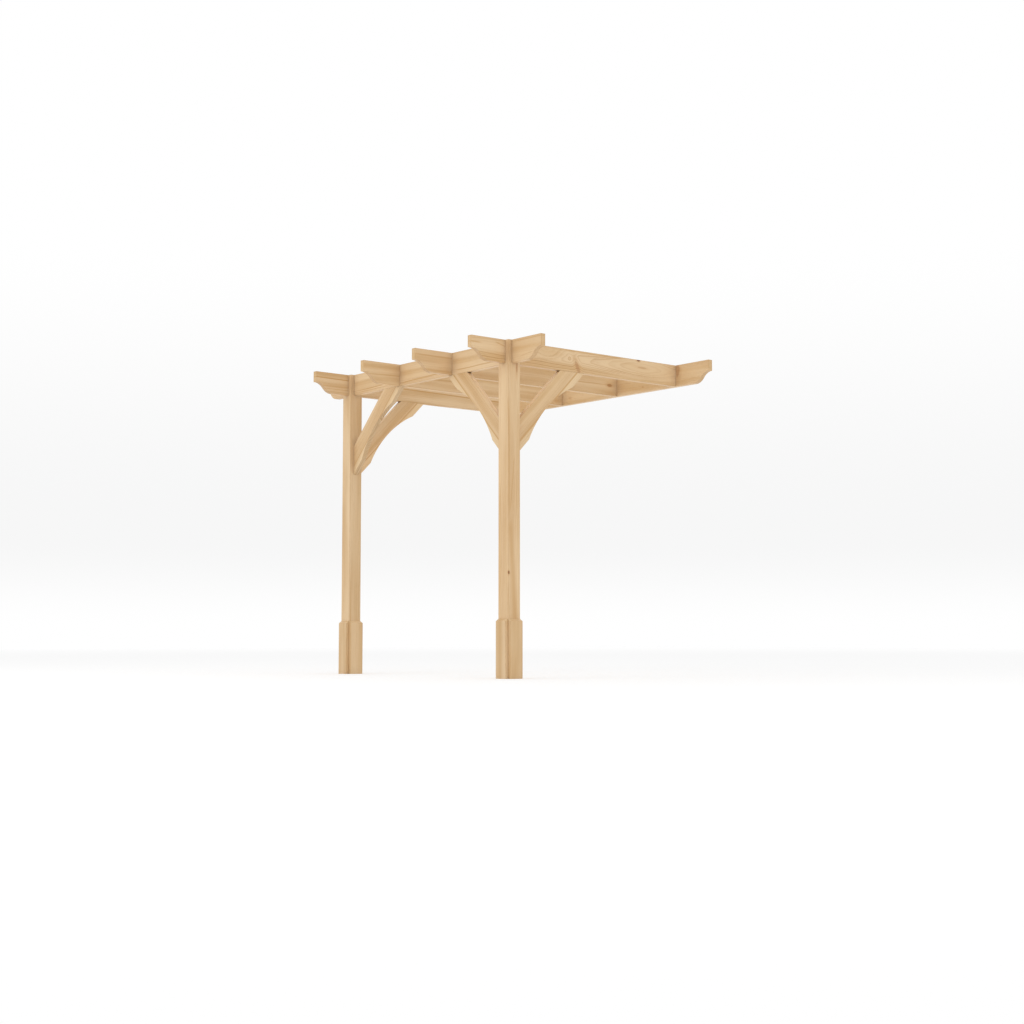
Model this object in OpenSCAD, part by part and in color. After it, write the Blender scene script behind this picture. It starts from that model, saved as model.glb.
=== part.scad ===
// Wall-mounted timber pergola: two posts carry a front beam, four rafters run back to a wall plate.
// Every board lies flush at top and bottom, so boards that cross are halved into each other.
// The origin is the middle of the wall plate's back face, +Y points into the wall and +Z is up.

/* [Overall] */
// Length of the front beam and of the wall plate, over their tips
beam_len = 2400; // [1800:10:3600]
// Length of a rafter, from the wall to its tip
rafter_len = 1800; // [1400:10:3000]
// Height of the frame, from the ground to the tops of the boards
frame_h = 2100; // [1800:10:2800]

/* [Boards] */
// Depth of the beam, plate, rafter and brace boards
board_h = 145; // [120:1:200]
// Thickness of those boards
board_t = 35; // [28:1:50]
// Room for a board in the slot or notch that takes it
slot_gap = 1; // [0.5:0.1:3]

/* [Posts] */
// Side of a square post
post_w = 95; // [75:1:140]
// Distance from the middle of a post to the tip of the front beam
beam_overhang = 325; // [220:5:450]
// Distance from the middle of a post to the tip of a rafter
rafter_overhang = 315; // [220:5:450]

/* [Shaped tips] */
// Radius of the two arcs that make the S-curve under a tip
tip_r = 90; // [75:1:110]

/* [Braces] */
// Distance from the corner under a board to the outer end of a brace, down the post or along the board
brace_leg = 565; // [420:5:700]
// Length of the straight stretch at each end of a brace's hollow edge
brace_land = 141; // [60:1:220]
// Depth of the hollow in a brace's lower edge
brace_hollow = 48; // [15:1:70]

/* [Post bases] */
// Height of a base board where it meets the post
base_h = 368; // [200:1:600]
// Thickness of a base board
base_t = 21; // [15:1:45]
// Fall of a base board's weathered top, from the post to its outer face
base_fall = 15.5; // [4:0.5:40]

/* [Hidden] */
// Levels, from the middle of the wall plate
board_top = board_h / 2;
board_bottom = -board_h / 2;
ground = board_top - frame_h;
// Places of the posts and rafters
post_x = beam_len / 2 - beam_overhang;
post_y = rafter_overhang - rafter_len;
rafter_count = 4;
rafter_pitch = 2 * post_x / (rafter_count - 1);
rafter_xs = [for (i = [0 : rafter_count - 1]) post_x - i * rafter_pitch];
// A notch takes half of a board's depth and all of the thickness of the board that crosses
notch_w = board_t + slot_gap;
notch_h = board_h / 2;
// Under a tip a cove and then a round leave level and meet halfway.
// Each turns by a 3-4-5 triangle's larger acute angle, which makes run and fall plain shares of the radius.
arc_run_share = 0.8;
arc_fall_share = 0.4;
tip_len = 2 * arc_run_share * tip_r;
tip_rise = 2 * arc_fall_share * tip_r;
tip_face_h = board_h - tip_rise;
// A brace's square inner edge, and the arc of its hollow edge
brace_inner_leg = brace_leg - board_h * sqrt(2);
brace_chord = brace_leg * sqrt(2) - 2 * brace_land;
brace_r = (pow(brace_chord / 2, 2) + pow(brace_hollow, 2)) / (2 * brace_hollow);
// How far a cut runs past the face that it opens
overrun = 5;
curve_fn = 128;
timber = [0.85, 0.73, 0.57];
base_timber = [0.83, 0.71, 0.55];

SIDES = ["right", "left"];
RAFTERS = ["right_end_rafter", "right_middle_rafter", "left_middle_rafter", "left_end_rafter"];
BASE_FACES = ["outer", "back", "inner", "front"];

// The shaped end of a board, with its end face on the left and its bottom at zero
module tip_outline() {
    translate([0, tip_rise])
        square([tip_len, tip_face_h]);
    difference() {
        square([tip_len / 2, tip_rise + tip_face_h / 2]);
        translate([0, tip_rise - tip_r])
            circle(r = tip_r, $fn = curve_fn);
    }
    intersection() {
        translate([tip_len / 2, -overrun])
            square([tip_len / 2, overrun + tip_rise + tip_face_h / 2]);
        translate([tip_len, tip_r])
            circle(r = tip_r, $fn = curve_fn);
    }
}

// Side view of a long board from its tip, square or shaped at its far end
module board_outline(len, far_tip) {
    tip_outline();
    translate([tip_len, 0])
        square([len - (far_tip ? 2 : 1) * tip_len, board_h]);
    if (far_tip)
        translate([len, 0])
            mirror([1, 0])
                tip_outline();
}

// A side view stood upright along X, with the board's thickness to either side of it
module upright(thickness) {
    rotate([90, 0, 0])
        linear_extrude(height = thickness, center = true)
            children();
}

// What a crossing board takes out of a board's upper half, at the middle of its top
module top_notch() {
    translate([-notch_w / 2, -board_t / 2 - overrun, notch_h])
        cube([notch_w, board_t + 2 * overrun, board_h - notch_h + overrun]);
}

// What a crossing board takes out of a board's lower half
module bottom_notch() {
    translate([-notch_w / 2, -board_t / 2 - overrun, -overrun])
        cube([notch_w, board_t + 2 * overrun, notch_h + overrun]);
}

// A board along X that carries the rafters in notches along its top
module carrier() {
    difference() {
        translate([-beam_len / 2, 0, 0])
            upright(board_t)
                board_outline(beam_len, true);
        for (x = rafter_xs)
            translate([x, 0, 0])
                top_notch();
    }
}

module front_beam() {
    color(timber)
        translate([0, post_y, board_bottom])
            carrier();
}

module wall_plate() {
    color(timber)
        translate([0, -board_t / 2, board_bottom])
            carrier();
}

// A rafter sits over the front beam and over the wall plate, and ends level with the plate's back
module rafter(x) {
    color(timber)
        translate([x, -rafter_len, board_bottom])
            rotate([0, 0, 90])
                difference() {
                    upright(board_t)
                        board_outline(rafter_len, false);
                    translate([rafter_overhang, 0, 0])
                        bottom_notch();
                    translate([rafter_len - board_t / 2, 0, 0])
                        bottom_notch();
                }
}

// A cross of slots in a post's head takes the beam and the end rafter, and leaves four corner fingers
module head_slot() {
    translate([-post_w / 2 - overrun, -notch_w / 2, 0])
        cube([post_w + 2 * overrun, notch_w, board_h + overrun]);
}

module post(side) {
    color(timber)
        translate([side * post_x, post_y, 0])
            difference() {
                translate([-post_w / 2, -post_w / 2, ground])
                    cube([post_w, post_w, frame_h]);
                for (turn = [0, 90])
                    translate([0, 0, board_bottom])
                        rotate([0, 0, turn])
                            head_slot();
            }
}

// Four boards clad a post's foot, each as wide as the post, with a top that sheds water outwards
module base_board(side, turn) {
    color(base_timber)
        translate([side * post_x, post_y, ground])
            rotate([0, 0, turn])
                translate([post_w / 2, 0, 0])
                    upright(post_w)
                        polygon([[0, 0], [base_t, 0], [base_t, base_h - base_fall], [0, base_h]]);
}

// Side view of a brace, with the corner of post and board at zero and the board running to the right
module brace_outline() {
    difference() {
        polygon([[brace_inner_leg, 0], [brace_leg, 0], [0, -brace_leg], [0, -brace_inner_leg]]);
        translate([brace_leg / 2, -brace_leg / 2])
            rotate(-45)
                translate([brace_r - brace_hollow, 0])
                    circle(r = brace_r, $fn = curve_fn);
    }
}

// A brace that leaves its post in the direction of turn and meets the underside of a board
module brace(side, turn) {
    color(timber)
        translate([side * post_x, post_y, board_bottom])
            rotate([0, 0, turn])
                translate([post_w / 2, 0, 0])
                    upright(board_t)
                        brace_outline();
}

// Each side's boards turn from +X, mirrored so that a side's outer face looks away from the middle
for (s = [0 : len(SIDES) - 1]) {
    name = SIDES[s];
    side = 1 - 2 * s;
    post(side);
    for (f = [0 : len(BASE_FACES) - 1])
        base_board(side, side > 0 ? f * 90 : 180 - f * 90);
    brace(side, 90 + side * 90);
    brace(side, 90);
}
front_beam();
wall_plate();
for (i = [0 : rafter_count - 1])
    rafter(rafter_xs[i]);
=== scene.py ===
import math
import random
from collections import namedtuple

import bpy
from mathutils import Matrix, Vector


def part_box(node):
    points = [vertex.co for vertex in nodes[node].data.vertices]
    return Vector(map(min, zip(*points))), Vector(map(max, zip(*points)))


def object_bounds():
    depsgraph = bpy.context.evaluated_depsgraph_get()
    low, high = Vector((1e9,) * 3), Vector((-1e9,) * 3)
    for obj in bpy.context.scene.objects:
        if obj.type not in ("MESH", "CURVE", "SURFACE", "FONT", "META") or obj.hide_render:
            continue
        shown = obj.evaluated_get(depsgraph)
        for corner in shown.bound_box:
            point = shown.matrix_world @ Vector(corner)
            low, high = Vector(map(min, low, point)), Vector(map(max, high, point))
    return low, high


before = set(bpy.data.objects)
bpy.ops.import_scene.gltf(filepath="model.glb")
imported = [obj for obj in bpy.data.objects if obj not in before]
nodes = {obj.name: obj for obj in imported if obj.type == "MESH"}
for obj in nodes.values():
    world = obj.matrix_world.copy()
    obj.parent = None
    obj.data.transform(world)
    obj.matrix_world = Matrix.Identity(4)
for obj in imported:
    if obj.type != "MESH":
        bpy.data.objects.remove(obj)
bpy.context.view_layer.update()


# Node building

# A noise: its scale along a board and across it, per metre, its detail and its roughness
Noise = namedtuple("Noise", "along across detail roughness")
NOISE_MIDDLE = 0.5
# Sockets of a Mix node that mixes colours
MIX_A = 6
MIX_B = 7
MIX_RESULT = 2
# The display curve: straight for dark values, a power for the rest
DISPLAY_TOP = 255
STRAIGHT_END = 0.04045
STRAIGHT_SLOPE = 12.92
CURVE_OFFSET = 0.055
CURVE_POWER = 2.4


class Net:
    """Adds nodes to a tree. An input takes a number, a tuple or another node's output."""

    def __init__(self, tree):
        self.tree = tree

    def node(self, kind, inputs=(), **settings):
        made = self.tree.nodes.new(kind)
        for key, value in settings.items():
            setattr(made, key, value)
        for key, value in dict(inputs).items():
            if isinstance(value, bpy.types.NodeSocket):
                self.tree.links.new(value, made.inputs[key])
            else:
                made.inputs[key].default_value = value
        return made

    def math(self, operation, *values):
        return self.node("ShaderNodeMath", enumerate(values), operation=operation).outputs[0]

    def total(self, *values):
        result = values[0]
        for value in values[1:]:
            result = self.math("ADD", result, value)
        return result

    def times(self, *values):
        result = values[0]
        for value in values[1:]:
            result = self.math("MULTIPLY", result, value)
        return result

    def less(self, value, taken):
        return self.math("SUBTRACT", value, taken)

    def rest(self, share):
        """What a share leaves of 1."""
        return self.less(1.0, share)

    def about(self, value, spread):
        """A noise value from 0 to 1 as a shift of up to half the spread either way."""
        return self.math("MULTIPLY_ADD", value, spread, -NOISE_MIDDLE * spread)

    def vector(self, operation, *values):
        return self.node("ShaderNodeVectorMath", enumerate(values), operation=operation).outputs[0]

    def number(self, operation, *values):
        """A vector operation whose result is a number, such as a length."""
        return self.node("ShaderNodeVectorMath", enumerate(values), operation=operation).outputs["Value"]

    def scaled(self, value, amount):
        """A vector or a colour times a number."""
        return self.node("ShaderNodeVectorMath", {0: value, "Scale": amount}, operation="SCALE").outputs[0]

    def facing(self, normal, axis):
        """1 where a face looks along the axis, either way, and 0 where the axis lies in the face."""
        return self.math("ABSOLUTE", self.number("DOT_PRODUCT", normal, tuple(axis)))

    def split(self, value):
        return self.node("ShaderNodeSeparateXYZ", {0: value}).outputs

    def join(self, x, y, z):
        return self.node("ShaderNodeCombineXYZ", {0: x, 1: y, 2: z}).outputs[0]

    def ease(self, value, start, end, low=0.0, high=1.0):
        """Goes smoothly from low, at start, to high, at end."""
        inputs = enumerate((value, start, end, low, high))
        return self.node("ShaderNodeMapRange", inputs, interpolation_type="SMOOTHSTEP").outputs[0]

    def noise(self, at, noise, shift=None, output=0):
        """A noise in a board's own frame. A shift leads to another part of its pattern."""
        at = self.vector("MULTIPLY", at, (noise.along, noise.across, noise.across))
        if shift is not None:
            at = self.vector("ADD", at, shift)
        inputs = {"Vector": at, "Scale": 1.0, "Detail": noise.detail, "Roughness": noise.roughness}
        return self.node("ShaderNodeTexNoise", inputs).outputs[output]

    def noise_along(self, w):
        inputs = {"W": w, "Scale": 1.0, "Detail": 1.0}
        return self.node("ShaderNodeTexNoise", inputs, noise_dimensions="1D").outputs[0]

    def mix(self, share, a, b):
        inputs = {0: share, MIX_A: a, MIX_B: b}
        return self.node("ShaderNodeMix", inputs, data_type="RGBA").outputs[MIX_RESULT]

    def seeing(self):
        """1 for rays that show a thing to the camera, straight or reflected, and 0 for those that light."""
        path = self.node("ShaderNodeLightPath").outputs
        reflected = self.math("MAXIMUM", path["Is Glossy Ray"], path["Is Transmission Ray"])
        return self.math("MAXIMUM", path["Is Camera Ray"], reflected)

    def group(self, tree, at, values):
        made = self.node("ShaderNodeGroup", node_tree=tree)
        self.tree.links.new(at, made.inputs["At"])
        for key, value in values.items():
            made.inputs[key].default_value = value
        return made


def new_group(name, vectors, numbers, outputs):
    """An empty node group; returns it, its net, its input sockets and a function that sets an output."""
    tree = bpy.data.node_groups.new(name, "ShaderNodeTree")
    for key in ("At", *vectors):
        tree.interface.new_socket(key, in_out="INPUT", socket_type="NodeSocketVector")
    for key in numbers:
        tree.interface.new_socket(key, in_out="INPUT", socket_type="NodeSocketFloat")
    for key in outputs:
        tree.interface.new_socket(key, in_out="OUTPUT", socket_type="NodeSocketFloat")
    taken = tree.nodes.new("NodeGroupInput").outputs
    given = tree.nodes.new("NodeGroupOutput").inputs
    return tree, Net(tree), taken, lambda key, socket: tree.links.new(socket, given[key])


def linear(part):
    """One display value from 0 to 1 as the linear value that shaders take."""
    if part <= STRAIGHT_END:
        return part / STRAIGHT_SLOPE
    return ((part + CURVE_OFFSET) / (1 + CURVE_OFFSET)) ** CURVE_POWER


def paint(red, green, blue):
    """A display colour from 0 to 255 as the linear colour that shaders take."""
    return (*[linear(part / DISPLAY_TOP) for part in (red, green, blue)], 1.0)


# Timber. A board's own x runs along its length, y across its width and z through its thickness.
# Limits are where a change starts and where it ends, then its low and high value if they aren't 0 and 1.

# Distance along a board over which a bowed heart line has moved half of its bow
BOW_SPREAD = 0.35
# How much a seed shifts the noises along each axis, and the slow tone
SEED_SHIFT = (3.1, 1.7, 1.0)
SLOW_SEED = 5.0
# The heart line's wander, and ripples in the growth rings
WANDER = Noise(1.2, 1.6, 1.2, 0.5)
RIPPLE = Noise(7.0, 30.0, 3.0, 0.55)
RIPPLE_SIZE = 0.007
# Rings of uneven width: noise per metre of radius, and its size in rings
UNEVEN_SCALE = 31.0
UNEVEN_RINGS = 2.2
# The dark late wood of a ring, and how its depth varies over the board and from ring to ring
LATE_POWER = 2.2
LATE_STOP = (1.0, 0.84)
DEPTH = Noise(1.5, 10.0, 1.5, 0.5)
DEPTH_LIMITS = (0.34, 0.66, 0.35, 1.25)
RING_SPREAD = 1.1
RING_LEAST = 0.5
# The wood's ground tone: a slow change from ring to ring, and mottle
SLOW_SCALE = 16.0
SLOW_SHARE = 0.55
MOTTLE = Noise(1.6, 11.0, 2.0, 0.5)
MOTTLE_SHARE = 0.45
TONE_LIMITS = (0.3, 0.7)
# Grain, fibres and short dark flecks
GRAIN = Noise(2.6, 105.0, 3.0, 0.65)
FIBRE = Noise(17.0, 460.0, 3.0, 0.6)
FLECK = Noise(24.0, 300.0, 1.0, 0.5)
FLECK_LIMITS = (0.66, 0.78)


def make_figure():
    """Growth rings round a heart line that leans and wanders along the board, and the fibres of the wood."""
    numbers = ["Bow", "Wander", "Ring", "Seed", "Rise"]
    outputs = ["Late", "Tone", "Grain", "Fibre", "Fleck"]
    tree, net, taken, give = new_group("pine_figure", ["Heart"], numbers, outputs)
    at, seed = taken["At"], taken["Seed"]
    shift = net.scaled(SEED_SHIFT, seed)
    x, y, z = net.split(at)
    middle, heart_y, heart_z = net.split(taken["Heart"])
    run = net.less(x, middle)
    run_squared = net.times(run, run)
    sag = net.math("DIVIDE", run_squared, net.total(run_squared, BOW_SPREAD * BOW_SPREAD))
    wander = net.split(net.noise(at, WANDER, shift, "Color"))
    off_y = net.total(heart_y, net.times(net.less(wander[0], NOISE_MIDDLE), taken["Wander"]))
    off_z = net.total(heart_z, net.times(net.less(wander[1], NOISE_MIDDLE), taken["Wander"]))
    off_z = net.total(off_z, net.times(taken["Bow"], sag))
    radius = net.number("LENGTH", net.join(0.0, net.less(y, off_y), net.less(z, off_z)))
    ripple = net.noise(at, RIPPLE, shift)
    radius = net.total(radius, taken["Rise"], net.about(ripple, RIPPLE_SIZE))
    uneven = net.noise_along(net.math("MULTIPLY_ADD", radius, UNEVEN_SCALE, seed))
    ring = net.total(net.math("DIVIDE", radius, taken["Ring"]), net.times(uneven, UNEVEN_RINGS))
    part = net.math("FRACT", ring)
    count = net.total(net.math("FLOOR", ring), seed)
    odd = net.node("ShaderNodeTexWhiteNoise", {"W": count}, noise_dimensions="1D").outputs[0]
    late = net.times(net.math("POWER", part, LATE_POWER), net.ease(part, *LATE_STOP))
    depth = net.ease(net.noise(at, DEPTH, shift), *DEPTH_LIMITS)
    give("Late", net.times(late, depth, net.math("MULTIPLY_ADD", odd, RING_SPREAD, RING_LEAST)))
    slow = net.noise_along(net.math("MULTIPLY_ADD", radius, SLOW_SCALE, net.times(seed, SLOW_SEED)))
    mottle = net.noise(at, MOTTLE, shift)
    tone = net.total(net.times(slow, SLOW_SHARE), net.times(mottle, MOTTLE_SHARE))
    give("Tone", net.ease(tone, *TONE_LIMITS))
    give("Grain", net.noise(at, GRAIN, shift))
    give("Fibre", net.noise(at, FIBRE, shift))
    give("Fleck", net.ease(net.noise(at, FLECK, shift), *FLECK_LIMITS))
    return tree


# A knot's rough outline, and its zones by the distance from its centre in radii
KNOT_EDGE = Noise(90.0, 160.0, 2.0, 0.5)
KNOT_EDGE_SPREAD = 0.5
CORE_LIMITS = (1.12, 0.8)
RIM_START = (0.6, 0.95)
RIM_STOP = (1.25, 1.0)
HALO_LIMITS = (2.6, 1.0)
RISE_LIMITS = (3.6, 0.4)


def make_knot():
    """A branch in the board: its wood, its dark edge, the amber round it and how far it lifts the rings."""
    outputs = ["Core", "Rim", "Halo", "Rise"]
    tree, net, taken, give = new_group("pine_knot", ["Centre", "Shape"], ["Lean", "Lift"], outputs)
    x, y, z = net.split(net.vector("SUBTRACT", taken["At"], taken["Centre"]))
    x = net.less(x, net.times(taken["Lean"], y))
    away = net.number("LENGTH", net.vector("MULTIPLY", net.join(x, y, z), taken["Shape"]))
    rough = net.noise(taken["At"], KNOT_EDGE)
    away = net.total(away, net.about(rough, KNOT_EDGE_SPREAD))
    give("Core", net.ease(away, *CORE_LIMITS))
    give("Rim", net.times(net.ease(away, *RIM_START), net.ease(away, *RIM_STOP)))
    give("Halo", net.ease(away, *HALO_LIMITS))
    give("Rise", net.times(taken["Lift"], net.ease(away, *RISE_LIMITS)))
    return tree


# How a streak sways along the board
SWAY = Noise(3.0, 14.0, 2.0, 0.5)


def make_streak():
    """A stained or resinous seam along the board, at one depth across its width or through its thickness."""
    numbers = ["Depth", "Half", "Slope", "Waver"]
    tree, net, taken, give = new_group("pine_streak", ["Face", "Ends"], numbers, ["Seam"])
    x = net.split(taken["At"])[0]
    first, last, fade = net.split(taken["Ends"])
    across = net.number("DOT_PRODUCT", taken["At"], taken["Face"])
    sway = net.noise(taken["At"], SWAY)
    off = net.total(net.less(across, taken["Depth"]), net.times(taken["Slope"], x))
    off = net.total(off, net.times(net.less(sway, NOISE_MIDDLE), taken["Waver"]))
    seam = net.ease(net.math("DIVIDE", net.math("ABSOLUTE", off), taken["Half"]), 1.0, 0.0)
    inside = net.math("MINIMUM", net.less(x, first), net.less(last, x))
    give("Seam", net.times(seam, net.ease(net.math("DIVIDE", inside, fade), 0.0, 1.0)))
    return tree


FIGURE_TREE = make_figure()
KNOT_TREE = make_knot()
STREAK_TREE = make_streak()

# Colours of the wood, and of what shows on it
PALE = paint(235, 205, 163)
WARM = paint(216, 179, 128)
LATE = paint(184, 134, 76)
SEAM = paint(194, 144, 76)
AMBER = paint(200, 148, 86)
KNOT_WOOD = paint(166, 102, 44)
KNOT_RIM = paint(84, 52, 28)
END_WOOD = paint(214, 178, 128)
SAWN = paint(205, 166, 118)
SAPWOOD = paint(240, 213, 170)
ARRIS = paint(196, 156, 104)
# Painted shade near other pieces and in tight corners
PAINTED_NOOK_SHADE = paint(206, 180, 148)
PAINTED_CREVICE_SHADE = paint(62, 42, 24)

# A knot's dark edge and amber, from its darkness
RIM_POWER = 4
HALO_SHARE = 0.5
# Grain and flecks
GRAIN_LIMITS = (0.52, 0.78)
GRAIN_SHARE = 0.28
FLECK_SHARE = 0.2
# End grain, by the turn of the face, and a darker rim round its outline, in metres
END_LIMITS = (0.85, 0.97)
END_SHARE = 0.5
END_RIM_LIMITS = (0.010, 0.003)
END_RIM_SHARE = 0.5
# The rough sawn curve under a tip: the turn of the face, its half of the board, and its wear
CURVE_LIMITS = (0.03, 0.2)
LOWER_HALF_LIMITS = (0.002, 0.0)
SAWN_LIMITS = (0.3, 0.7)
# A darker colour along the arrises, broken up by noise, by the distance from them in metres
SCUFF = Noise(22.0, 60.0, 2.0, 0.5)
ARRIS_LIMITS = (0.006, 0.0005)
ARRIS_BREAKUP_LIMITS = (0.3, 0.6, 0.3, 1.0)
ARRIS_SHARE = 0.42
# Painted shade in nooks and crevices, by how open the air is around them
AIR_REACH = 0.1
AIR_SAMPLES = 8
PAINTED_NOOK_SHADE_LIMITS = (0.95, 0.45)
PAINTED_NOOK_SHADE_SHARE = 0.35
PAINTED_CREVICE_SHADE_LIMITS = (0.34, 0.15)
PAINTED_CREVICE_SHADE_BROAD_LIMITS = (0.1, 0.6, 1.0, 0.2)
# The sapwood strip's edge and strength, and the line between a board's two narrow faces
SAPWOOD_BLUR = 0.001
SAPWOOD_SHARE = 0.7
MIDDLE_LIMITS = (-0.001, 0.001)
# Light of the wood, and what fibres and grain add to it, and the painted shade in nooks
WOOD_LIGHT = 0.90
FIBRE_LIGHT = 0.12
GRAIN_LIGHT = 0.10
PAINTED_NOOK_SHADE_LIGHT = -0.07
# Roughness of the wood, and what each of its features adds
WOOD_ROUGHNESS = 0.48
LATE_ROUGHNESS = -0.1
FIBRE_ROUGHNESS = 0.16
END_ROUGHNESS = 0.15
ARRIS_ROUGHNESS = -0.08
CORE_ROUGHNESS = -0.1
# Relief of the wood: the shares of its features, and its depth
LATE_RELIEF = 0.5
FIBRE_RELIEF = 0.35
CORE_RELIEF = 0.5
FLECK_RELIEF = -0.4
RELIEF_STRENGTH = 0.45
RELIEF_DEPTH = 0.0006


def add_knots(net, at, knots):
    """How far the knots lift the rings, and the shares of their wood, dark edge and amber."""
    rise, core, rim, halo = 0.0, 0.0, 0.0, 0.0
    for knot in knots:
        shape = tuple(1 / radius for radius in knot.radii)
        values = {"Centre": knot.centre, "Shape": shape, "Lean": knot.lean, "Lift": knot.lift}
        zones = net.group(KNOT_TREE, at, values).outputs
        rise = net.total(rise, zones["Rise"])
        core = net.math("MAXIMUM", core, net.times(zones["Core"], knot.dark))
        rim = net.math("MAXIMUM", rim, net.times(zones["Rim"], knot.dark ** RIM_POWER))
        halo = net.math("MAXIMUM", halo, net.times(zones["Halo"], HALO_SHARE * knot.dark))
    return rise, core, rim, halo


def add_streaks(net, at, broad, streaks):
    """The share of stain. A streak through the thickness stays off the wide faces."""
    seams = 0.0
    for streak in streaks:
        values = {"Face": streak.face, "Depth": streak.depth, "Half": streak.half}
        values.update({"Slope": streak.slope, "Waver": streak.waver, "Ends": streak.ends})
        seam = net.times(net.group(STREAK_TREE, at, values).outputs[0], streak.strength)
        if streak.face == THROUGH:
            seam = net.times(seam, net.rest(broad))
        seams = net.math("MAXIMUM", seams, seam)
    return seams


def timber(name, place, half_width, half_thick, look):
    """A pine material for one piece. Place is its centre and its own axes as a 4x4 matrix."""
    material = bpy.data.materials.new(name + "_pine")
    material.use_nodes = True
    tree = material.node_tree
    net = Net(tree)
    shader = tree.nodes["Principled BSDF"]
    coords = net.node("ShaderNodeTexCoord").outputs
    mapping = {"Vector": coords["Object"], "Location": place.translation, "Rotation": place.to_euler()}
    at = net.node("ShaderNodeMapping", mapping, vector_type="TEXTURE").outputs[0]
    y, z = net.split(at)[1:]

    # Which way a face looks, and how far it is to the board's sides
    slant = net.facing(coords["Normal"], place.col[0].xyz)
    broad = net.facing(coords["Normal"], place.col[2].xyz)
    end = net.ease(slant, *END_LIMITS)
    narrow = net.times(net.rest(broad), net.rest(end))
    to_edge = net.less(half_width, net.math("ABSOLUTE", y))
    to_face = net.less(half_thick, net.math("ABSOLUTE", z))

    # The figure, the darker colour along the arrises, and where shade is painted near other pieces and in
    # tight corners
    rise, core, rim, halo = add_knots(net, at, look["knots"])
    seams = add_streaks(net, at, broad, look["streaks"])
    figure = net.group(FIGURE_TREE, at, {key.title(): look[key] for key in FIGURE_VALUES})
    if look["knots"]:
        tree.links.new(rise, figure.inputs["Rise"])
    late, tone, grain, fibre, fleck = figure.outputs
    scuff = net.noise(at, SCUFF)
    to_arris = net.math("MAXIMUM", to_edge, to_face)
    arris = net.times(net.ease(to_arris, *ARRIS_LIMITS), net.ease(scuff, *ARRIS_BREAKUP_LIMITS))
    # How open the air is round a point, for the shade painted in nooks and tight corners
    air = net.node("ShaderNodeAmbientOcclusion", {"Distance": AIR_REACH}, samples=AIR_SAMPLES).outputs["AO"]
    painted_nook_shade = net.times(net.ease(air, *PAINTED_NOOK_SHADE_LIMITS), look["painted_nook_shade"])
    painted_crevice_shade = net.times(net.ease(air, *PAINTED_CREVICE_SHADE_LIMITS), net.ease(broad, *PAINTED_CREVICE_SHADE_BROAD_LIMITS), net.rest(end))

    # Colour
    colour = net.mix(net.times(tone, look["warmth"]), PALE, WARM)
    if "sapwood" in look:
        limits = (look["sapwood"] + SAPWOOD_BLUR, look["sapwood"] - SAPWOOD_BLUR, 0.0, SAPWOOD_SHARE)
        colour = net.mix(net.times(net.ease(y, *limits), broad), colour, SAPWOOD)
        seams = net.times(seams, broad)
    colour = net.mix(net.times(late, look["contrast"]), colour, LATE)
    colour = net.mix(net.times(net.ease(grain, *GRAIN_LIMITS), GRAIN_SHARE), colour, LATE)
    colour = net.mix(net.times(fleck, FLECK_SHARE), colour, LATE)
    if look["streaks"]:
        colour = net.mix(seams, colour, SEAM)
    colour = net.mix(net.times(end, END_SHARE), colour, END_WOOD)
    to_rim = net.math("MINIMUM", to_edge, to_face)
    colour = net.mix(net.times(end, net.ease(to_rim, *END_RIM_LIMITS), END_RIM_SHARE), colour, ARRIS)
    if "sawn" in look:
        curved = net.times(narrow, net.ease(slant, *CURVE_LIMITS), net.ease(y, *LOWER_HALF_LIMITS))
        colour = net.mix(net.times(curved, net.ease(scuff, *SAWN_LIMITS, *look["sawn"])), colour, SAWN)
        narrow = net.less(narrow, curved)
    colour = net.mix(net.times(arris, ARRIS_SHARE), colour, ARRIS)
    if look["knots"]:
        colour = net.mix(halo, colour, AMBER)
        colour = net.mix(core, colour, KNOT_WOOD)
        colour = net.mix(rim, colour, KNOT_RIM)
    # Painted shade: a greyer colour near other pieces
    colour = net.mix(net.times(painted_nook_shade, PAINTED_NOOK_SHADE_SHARE), colour, PAINTED_NOOK_SHADE)
    # Painted shade: a dark brown in tight corners and narrow gaps, mostly on the narrow faces and none on end
    # grain
    colour = net.mix(net.times(painted_crevice_shade, look["painted_crevice_shade"]), colour, PAINTED_CREVICE_SHADE)

    # Light, with shade painted near other pieces, light and shade painted on the narrow faces, and shade
    # painted toward one side of a board
    light = net.math("MULTIPLY_ADD", fibre, FIBRE_LIGHT, WOOD_LIGHT * look["tint"])
    light = net.math("MULTIPLY_ADD", grain, GRAIN_LIGHT, light)
    # Painted shade: less light near other pieces
    light = net.math("MULTIPLY_ADD", painted_nook_shade, PAINTED_NOOK_SHADE_LIGHT, light)
    # Painted light and shade on the narrow faces
    if "painted_narrow_shading" in look:
        painted_narrow_gain = net.ease(y, *MIDDLE_LIMITS, *look["painted_narrow_shading"])
        light = net.times(light, net.math("MULTIPLY_ADD", narrow, painted_narrow_gain, 1.0))
    # Painted shade toward one side of the board
    if "painted_side_shade" in look:
        light = net.times(light, net.ease(y, -half_width, half_width, *look["painted_side_shade"]))
    tree.links.new(net.scaled(colour, light), shader.inputs["Base Color"])

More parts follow.
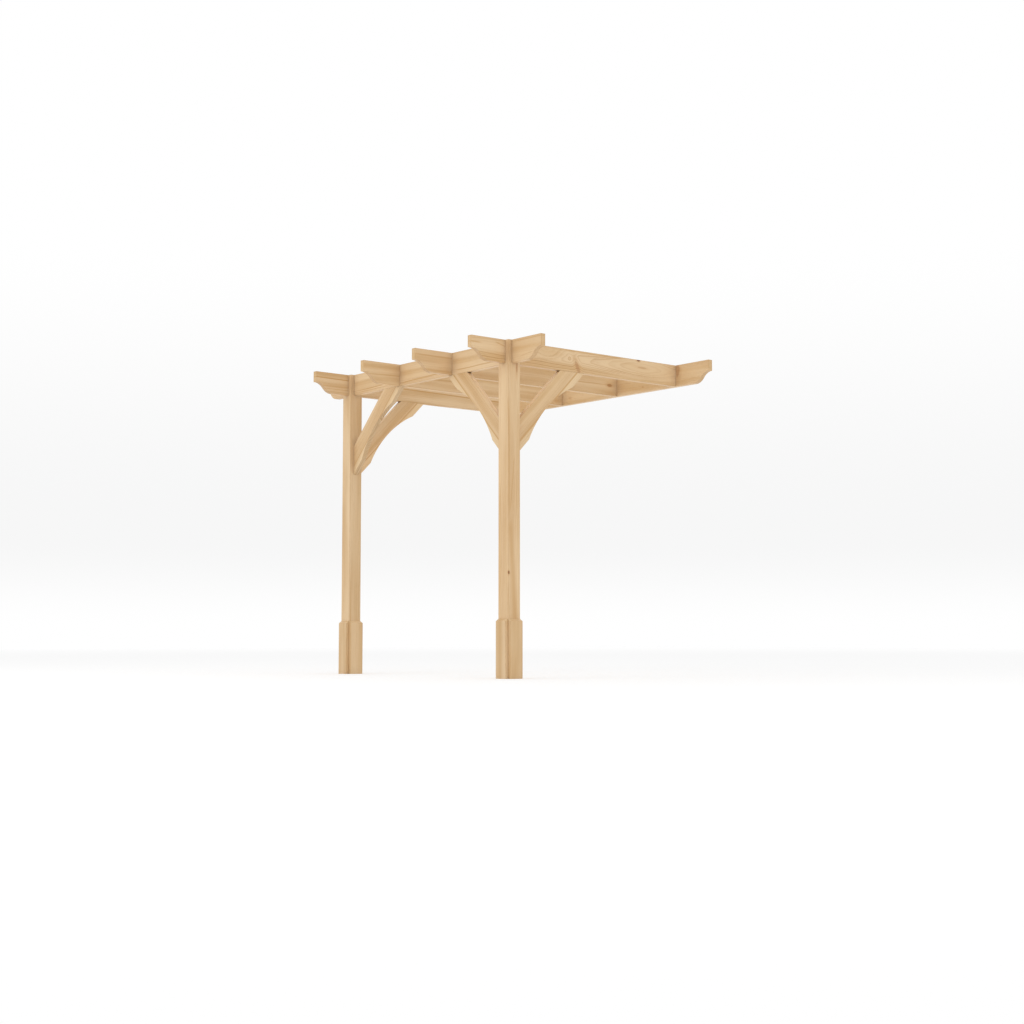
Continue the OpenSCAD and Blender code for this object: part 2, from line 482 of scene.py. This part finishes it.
    # Roughness and relief
    rough = net.math("MULTIPLY_ADD", late, LATE_ROUGHNESS, WOOD_ROUGHNESS)
    rough = net.total(rough, net.about(fibre, FIBRE_ROUGHNESS), net.times(end, END_ROUGHNESS))
    rough = net.total(rough, net.times(arris, ARRIS_ROUGHNESS), net.times(core, CORE_ROUGHNESS))
    tree.links.new(rough, shader.inputs["Roughness"])
    height = net.total(net.times(late, LATE_RELIEF), net.times(fibre, FIBRE_RELIEF))
    height = net.total(height, net.times(core, CORE_RELIEF), net.times(fleck, FLECK_RELIEF))
    relief = {"Strength": RELIEF_STRENGTH, "Distance": RELIEF_DEPTH, "Height": height}
    tree.links.new(net.node("ShaderNodeBump", relief).outputs[0], shader.inputs["Normal"])
    return material


# Looks of the pieces

# A knot's centre, radii, lean along the board, lift of the rings and darkness
Knot = namedtuple("Knot", "centre radii lean lift dark")
# The axis a streak's depth is measured on, its depth, half its width, its slope and waver,
# where it starts, stops and over what length it fades, and its strength
Streak = namedtuple("Streak", "face depth half slope waver ends strength")
ACROSS = (0.0, 1.0, 0.0)
THROUGH = (0.0, 0.0, 1.0)

# Half the thickness and half the depth of a board, and half the side of a post
beam_low, beam_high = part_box("front_beam")
BOARD_FACE = (beam_high.y - beam_low.y) / 2
BOARD_EDGE = (beam_high.z - beam_low.z) / 2
post_low, post_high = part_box("right_post")
POST_FACE = (post_high.x - post_low.x) / 2

# Values that a piece has unless its kind or its own look says otherwise. Every look also has
# its heart line (the middle of its bow along the board, then its y and z), ring width and seed.
FIGURE_VALUES = ("heart", "bow", "wander", "ring", "seed")
PLAIN = {
    "bow": 0.0,
    "wander": 0.05,
    "contrast": 0.6,
    "warmth": 1.0,
    "tint": 1.0,
    # Shares of the shade painted near other pieces and in tight corners
    "painted_nook_shade": 1.0,
    "painted_crevice_shade": 0.95,
    "knots": [],
    "streaks": [],
}
# What the narrow faces at low y and at high y gain in light is painted light or painted shade, put into their
# colour.
# Sawn is the least and the most share of sawn wood on the curve under a tip.
LONG_LOOK = {"painted_narrow_shading": (0.12, 0.12), "sawn": (0.4, 0.8)}
KIND_LOOKS = {
    "rafter": LONG_LOOK,
    "beam": LONG_LOOK,
    "plate": LONG_LOOK,
    "post": {},
    # Sapwood is the y below which a brace is pale
    "brace": {
        "heart": (0.0, -0.16, -0.03), "ring": 0.0056, "seed": 80.0,
        # Its inner narrow face gets painted light and its hollow one painted shade
        "contrast": 0.65, "sapwood": -0.032, "painted_narrow_shading": (-0.12, 0.14),
        "streaks": [Streak(ACROSS, -0.030, 0.008, 0.0, 0.0, (-0.6, 0.6, 0.05), 0.65)],
    },
    "board": {
        "heart": (0.0, 0.13, -0.05), "ring": 0.0056, "seed": 83.1,
        "contrast": 0.35, "warmth": 1.05, "tint": 0.965, "painted_nook_shade": 0.3, "painted_crevice_shade": 0.5,
    },
}
LOOKS = {
    "right_end_rafter": {
        "heart": (0.55, 0.02, -0.035), "bow": -0.04, "wander": 0.015, "ring": 0.0068, "seed": 3.3,
        "contrast": 0.75, "warmth": 1.15,
        "knots": [Knot((-0.030, -0.036, BOARD_FACE), (0.015, 0.042, 0.03), -0.4, 0.010, 0.4),
                  Knot((0.516, BOARD_EDGE, 0.012), (0.013, 0.010, 0.014), 0.0, 0.004, 1.0),
                  Knot((0.55, 0.022, BOARD_FACE), (0.04, 0.006, 0.02), -0.15, 0.0, 0.3),
                  Knot((-0.28, 0.035, BOARD_FACE), (0.06, 0.018, 0.03), 0.0, 0.02, 0.0)],
        "streaks": [Streak(ACROSS, 0.065, 0.006, 0.005, 0.008, (-0.2, 0.42, 0.12), 0.6),
                    Streak(ACROSS, 0.034, 0.008, 0.0, 0.016, (-1.0, -0.8, 0.06), 0.5),
                    Streak(ACROSS, -0.128, 0.007, 0.25, 0.004, (-0.72, -0.615, 0.03), 0.55)],
    },
    "right_middle_rafter": {
        "heart": (0.0, -0.14, -0.03), "ring": 0.0054, "seed": 11.7,
        "knots": [Knot((0.795, -0.001, BOARD_FACE), (0.022, 0.010, 0.02), 0.0, 0.008, 0.6)],
        "streaks": [Streak(ACROSS, 0.036, 0.008, 0.0, 0.012, (-1.0, -0.3, 0.2), 0.5),
                    Streak(ACROSS, -0.056, 0.012, 0.0, 0.012, (-1.0, -0.4, 0.2), 0.38),
                    Streak(ACROSS, 0.008, 0.006, 0.01, 0.012, (0.2, 0.85, 0.2), 0.6)],
    },
    "left_middle_rafter": {
        "heart": (0.2, 0.14, -0.03), "ring": 0.0058, "seed": 23.1, "tint": 1.02,
        "streaks": [Streak(ACROSS, 0.004, 0.006, -0.02, 0.010, (-1.0, 0.2, 0.3), 0.5)],
    },
    "left_end_rafter": {
        "heart": (0.0, 0.13, -0.02), "ring": 0.006, "seed": 31.9,
        "streaks": [Streak(ACROSS, 0.022, 0.007, 0.015, 0.004, (-1.0, -0.5, 0.12), 0.85),
                    Streak(ACROSS, 0.018, 0.008, 0.014, 0.006, (-0.45, 1.0, 0.15), 0.9),
                    Streak(ACROSS, -0.069, 0.004, 0.02, 0.004, (-0.2, 0.6, 0.15), 0.7),
                    Streak(ACROSS, -0.020, 0.003, 0.0, 0.004, (-1.0, -0.5, 0.1), 0.6),
                    Streak(ACROSS, -0.040, 0.003, 0.0, 0.004, (-1.0, -0.5, 0.1), 0.7),
                    Streak(ACROSS, -0.058, 0.003, 0.0, 0.004, (-1.0, -0.5, 0.1), 0.6)],
    },
    "front_beam": {
        "heart": (-0.1, -0.16, -0.03), "ring": 0.0066, "seed": 41.3, "warmth": 0.7,
        "streaks": [Streak(ACROSS, -0.042, 0.006, 0.0, 0.020, (-0.82, -0.35, 0.12), 0.6),
                    Streak(ACROSS, -0.057, 0.004, 0.0, 0.012, (-0.82, -0.35, 0.12), 0.5),
                    Streak(ACROSS, -0.047, 0.007, -0.03, 0.012, (-0.3, 0.28, 0.1), 0.7),
                    Streak(ACROSS, -0.048, 0.006, -0.01, 0.012, (0.3, 0.8, 0.1), 0.6),
                    Streak(ACROSS, 0.060, 0.008, 0.0, 0.010, (0.9, 1.3, 0.1), 0.45),
                    Streak(ACROSS, 0.0, 0.15, 0.0, 0.010, (0.85, 1.3, 0.1), 0.16),
                    Streak(ACROSS, 0.0, 0.15, 0.0, 0.010, (-1.3, -0.85, 0.1), 0.3),
                    Streak(ACROSS, -0.161, 0.008, -0.12, 0.010, (0.97, 1.16, 0.06), 0.45)],
    },
    "wall_plate": {
        "heart": (0.0, 0.15, -0.03), "ring": 0.0066, "seed": 52.9, "contrast": 0.5,
        "knots": [Knot((0.910, 0.035, BOARD_FACE), (0.020, 0.045, 0.03), 0.05, 0.006, 0.5),
                  Knot((1.057, -0.040, BOARD_FACE), (0.040, 0.012, 0.02), 0.0, 0.014, 0.05),
                  Knot((-0.19, -0.025, BOARD_FACE), (0.016, 0.010, 0.02), 0.0, 0.010, 0.2),
                  Knot((0.572, -0.037, BOARD_FACE), (0.008, 0.006, 0.02), 0.0, 0.006, 0.3)],
    },
    "right_post": {
        "heart": (0.1, -0.12, 0.14), "ring": 0.0056, "seed": 61.1,
        # Its narrow faces get a little painted shade
        "contrast": 0.65, "warmth": 0.7, "tint": 1.035, "painted_crevice_shade": 0.1, "painted_narrow_shading": (-0.025, -0.025),
        "knots": [Knot((-0.399, POST_FACE, -0.042), (0.009, 0.006, 0.005), 0.0, 0.004, 1.0),
                  Knot((0.90, POST_FACE, 0.022), (0.055, 0.03, 0.007), 0.0, 0.0, 0.55)],
        "streaks": [Streak(THROUGH, -0.041, 0.014, 0.0, 0.002, (-0.15, 0.75, 0.2), 0.42),
                    Streak(THROUGH, -0.0365, 0.036, 0.069, 0.004, (-0.85, -0.02, 0.12), 0.45),
                    Streak(THROUGH, -0.029, 0.005, -0.093, 0.004, (-0.05, 0.35, 0.08), 0.5),
                    Streak(ACROSS, 0.020, 0.004, 0.0, 0.006, (-0.5, 0.6, 0.3), 0.3),
                    Streak(ACROSS, -0.030, 0.004, 0.0, 0.006, (-0.9, 0.9, 0.3), 0.3)],
    },
    "left_post": {
        "heart": (-0.2, -0.12, 0.14), "ring": 0.0058, "seed": 73.7,
        # Its narrow faces get a little painted shade
        "contrast": 0.45, "painted_crevice_shade": 0.1, "painted_narrow_shading": (-0.05, -0.05),
        "streaks": [Streak(THROUGH, -0.036, 0.008, 0.0, 0.010, (-1.1, -0.3, 0.3), 0.55)],
    },
    # Painted shade: the light painted into the brace's colour at its hollow edge and at its inner edge,
    # darker toward the inner edge
    "left_side_brace": {"painted_side_shade": (1.1, 0.95)},
}
# Kinds whose pieces share a look and differ by a step of the seed
SHARED_KINDS = ("brace", "board")
SEED_STEP = 7.3

# Small knots on the far faces: their middles and strays as shares of half a board, then sizes and looks
FAR_MIDDLES = (-0.5, 0.5)
FAR_STRAY_ALONG = (-0.4, 0.4)
FAR_STRAY_ACROSS = (-0.6, 0.6)
FAR_SIZE = (0.006, 0.011)
FAR_STRETCH = 1.3
FAR_DEPTH = 0.008
FAR_LEAN = (-0.2, 0.2)
FAR_LIFT = 0.012
FAR_DARK = (0.5, 0.8)


def far_knots(seed, half_length, half_width, face):
    """Two small knots at seeded places on the face of a board that has the given z."""
    pick = random.Random(seed)
    found = []
    for middle in FAR_MIDDLES:
        size = pick.uniform(*FAR_SIZE)
        along = (middle + pick.uniform(*FAR_STRAY_ALONG)) * half_length
        across = pick.uniform(*FAR_STRAY_ACROSS) * half_width
        lean = pick.uniform(*FAR_LEAN)
        dark = pick.uniform(*FAR_DARK)
        radii = (size * FAR_STRETCH, size, FAR_DEPTH)
        found.append(Knot((along, across, face), radii, lean, FAR_LIFT, dark))
    return found


# Pieces

RIGHT = Vector((1, 0, 0))
BACK = Vector((0, 1, 0))
UP = Vector((0, 0, 1))
# Width of the eased arrises, in metres
EASED = {"post": 0.0012, "board": 0.0012, "rafter": 0.0009, "beam": 0.0009, "plate": 0.0009, "brace": 0.0014}
EASED_SEGMENTS = 3
# Points nearer than this are one, faces within the flat angle are one, edges past the sharp angle are eased
WELD_GAP = 0.00002
FLAT_ANGLE = math.radians(0.3)
SHARP_ANGLE = math.radians(32)


def axes(along, across, centre):
    """A piece's own frame: x along its length, y across its width, z out of its wide face."""
    x, y = along.normalized(), across.normalized()
    place = Matrix((x, y, x.cross(y))).transposed().to_4x4()
    place.translation = centre
    return place


def piece_frame(name, kind):
    """The piece's own frame, and half of its width and of its thickness."""
    low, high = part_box(name)
    size, centre = high - low, (low + high) / 2
    outer = RIGHT if name.startswith("right") else -RIGHT
    if kind == "post":
        return axes(UP, RIGHT, centre), size.x / 2, size.y / 2
    if kind == "board":
        outward = {"outer": outer, "inner": -outer, "front": -BACK, "back": BACK}
        across = outward[name.split("_")[1]].cross(UP)
        return axes(UP, across, centre), max(size.x, size.y) / 2, min(size.x, size.y) / 2
    if kind == "rafter":
        return axes(BACK, UP, centre), size.z / 2, size.x / 2
    if kind == "brace":
        leaves = -outer if "front" in name else BACK
        across = UP - leaves
        middle = centre + across.normalized() * BOARD_EDGE
        return axes(UP + leaves, across, middle), BOARD_EDGE, min(size) / 2
    return axes(RIGHT, UP, centre), size.z / 2, size.y / 2


def ease_arrises(piece, width):
    """Merges the mesh's flat facets and eases its arrises, as planed timber is."""
    weld = piece.modifiers.new("weld", "WELD")
    weld.merge_threshold = WELD_GAP
    flat = piece.modifiers.new("flat", "DECIMATE")
    flat.decimate_type = "DISSOLVE"
    flat.angle_limit = FLAT_ANGLE
    bevel = piece.modifiers.new("arrises", "BEVEL")
    bevel.width = width
    bevel.segments = EASED_SEGMENTS
    bevel.limit_method = "ANGLE"
    bevel.angle_limit = SHARP_ANGLE
    bevel.harden_normals = True
    normals = piece.modifiers.new("normals", "WEIGHTED_NORMAL")
    normals.keep_sharp = True


for index, (name, piece) in enumerate(sorted(nodes.items())):
    kind = name.split("_")[-1]
    place, half_width, half_thick = piece_frame(name, kind)
    look = {**PLAIN, **KIND_LOOKS[kind], **LOOKS.get(name, {})}
    if kind in SHARED_KINDS:
        look["seed"] += SEED_STEP * index
    else:
        low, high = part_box(name)
        far_face = half_thick if kind == "post" else -half_thick
        look["knots"] = look["knots"] + far_knots(index, max(high - low) / 2, half_width, far_face)
    piece.data.materials.clear()
    piece.data.materials.append(timber(name, place, half_width, half_thick, look))
    ease_arrises(piece, EASED[kind])


# Floor, light and camera

WHITE = (1.0, 1.0, 1.0, 1.0)
# The floor: how far it reaches each way, its colour, and the light that makes it white for the camera,
# with a little more on the camera's side and far off, by the distance in metres
FLOOR_REACH = 24.0
FLOOR_COLOUR = (0.9, 0.9, 0.9, 1.0)
FLOOR_LIFT = 0.18
NEAR_LIFT_LIMITS = (4.0, 7.0, 0.0, 0.04)
FAR_LIFT_LIMITS = (10.0, 30.0, 0.0, 0.05)
# The backdrop, white with a faint haze over the horizon, by the height of the view's direction,
# and the strength of the glow that lights the part
HAZE = paint(247, 247, 247)
HAZE_START = (0.005, 0.06)
HAZE_STOP = (0.24, 0.07)
SKY_GLOW = 0.85
# Square lamps: name, side, energy and place, all aimed at one spot
LAMPS = (("key", 4.0, 64.0, (-0.5, -8.0, 2.5)),
         ("fill", 3.0, 38.0, (8.5, -1.5, 0.2)))
LAMP_AIM = Vector((0, -1.0, -0.8))
# The camera, fitted to the photo's edges: its place, its angles up from level and round to the left,
# its lens, its sensor's width and how far it sees
CAMERA_PLACE = (8.54296, -7.76952, -1.77531)
CAMERA_LOOK_UP = 0.07806
CAMERA_TURN = 0.88249
CAMERA_LENS = 56.415
CAMERA_SENSOR = 36.0
CAMERA_REACH = 200.0


def floor_material():
    """A matt floor that shows the camera a little more light than it gives to the part."""
    material = bpy.data.materials.new("studio_floor")
    material.use_nodes = True
    tree = material.node_tree
    tree.nodes.remove(tree.nodes["Principled BSDF"])
    net = Net(tree)
    matt = net.node("ShaderNodeBsdfDiffuse", {"Color": FLOOR_COLOUR}).outputs[0]
    at = net.node("ShaderNodeTexCoord").outputs["Object"]
    near = net.ease(net.split(at)[0], *NEAR_LIFT_LIMITS)
    far = net.ease(net.number("LENGTH", at), *FAR_LIFT_LIMITS)
    strength = net.times(net.seeing(), net.total(near, far, FLOOR_LIFT))
    lift = net.node("ShaderNodeEmission", {"Strength": strength}).outputs[0]
    both = net.node("ShaderNodeAddShader", {0: matt, 1: lift}).outputs[0]
    tree.links.new(both, tree.nodes["Material Output"].inputs["Surface"])
    return material


def studio_world():
    """An even glow that lights the part, and a white backdrop for the camera."""
    world = bpy.data.worlds.new("studio")
    world.use_nodes = True
    tree = world.node_tree
    tree.nodes.remove(tree.nodes["Background"])
    net = Net(tree)
    upward = net.split(net.node("ShaderNodeTexCoord").outputs["Generated"])[2]
    haze = net.times(net.ease(upward, *HAZE_START), net.ease(upward, *HAZE_STOP))
    seen = net.mix(haze, WHITE, HAZE)
    shown = net.node("ShaderNodeBackground", {"Color": seen, "Strength": 1.0}).outputs[0]
    glow = net.node("ShaderNodeBackground", {"Color": WHITE, "Strength": SKY_GLOW}).outputs[0]
    sky = net.node("ShaderNodeMixShader", {0: net.seeing(), 1: glow, 2: shown}).outputs[0]
    tree.links.new(sky, tree.nodes["World Output"].inputs["Surface"])
    return world


scene = bpy.context.scene
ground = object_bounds()[0].z

square = [(-1, -1), (1, -1), (1, 1), (-1, 1)]
corners = [(x * FLOOR_REACH, y * FLOOR_REACH, ground) for x, y in square]
floor_mesh = bpy.data.meshes.new("floor")
floor_mesh.from_pydata(corners, [], [(0, 1, 2, 3)])
floor_mesh.materials.append(floor_material())
floor = bpy.data.objects.new("floor", floor_mesh)
scene.collection.objects.link(floor)
scene.world = studio_world()

for name, side, energy, spot in LAMPS:
    lamp = bpy.data.objects.new(name, bpy.data.lights.new(name, "AREA"))
    lamp.data.shape = "SQUARE"
    lamp.data.size = side
    lamp.data.energy = energy
    lamp.location = spot
    lamp.rotation_euler = (LAMP_AIM - lamp.location).to_track_quat("-Z", "Y").to_euler()
    scene.collection.objects.link(lamp)

camera = bpy.data.objects.new("camera", bpy.data.cameras.new("camera"))
camera.location = CAMERA_PLACE
camera.rotation_euler = (math.pi / 2 + CAMERA_LOOK_UP, 0.0, CAMERA_TURN)
camera.data.lens = CAMERA_LENS
camera.data.sensor_width = CAMERA_SENSOR
camera.data.clip_end = CAMERA_REACH
scene.collection.objects.link(camera)
scene.camera = camera
scene.view_settings.view_transform = "Standard"
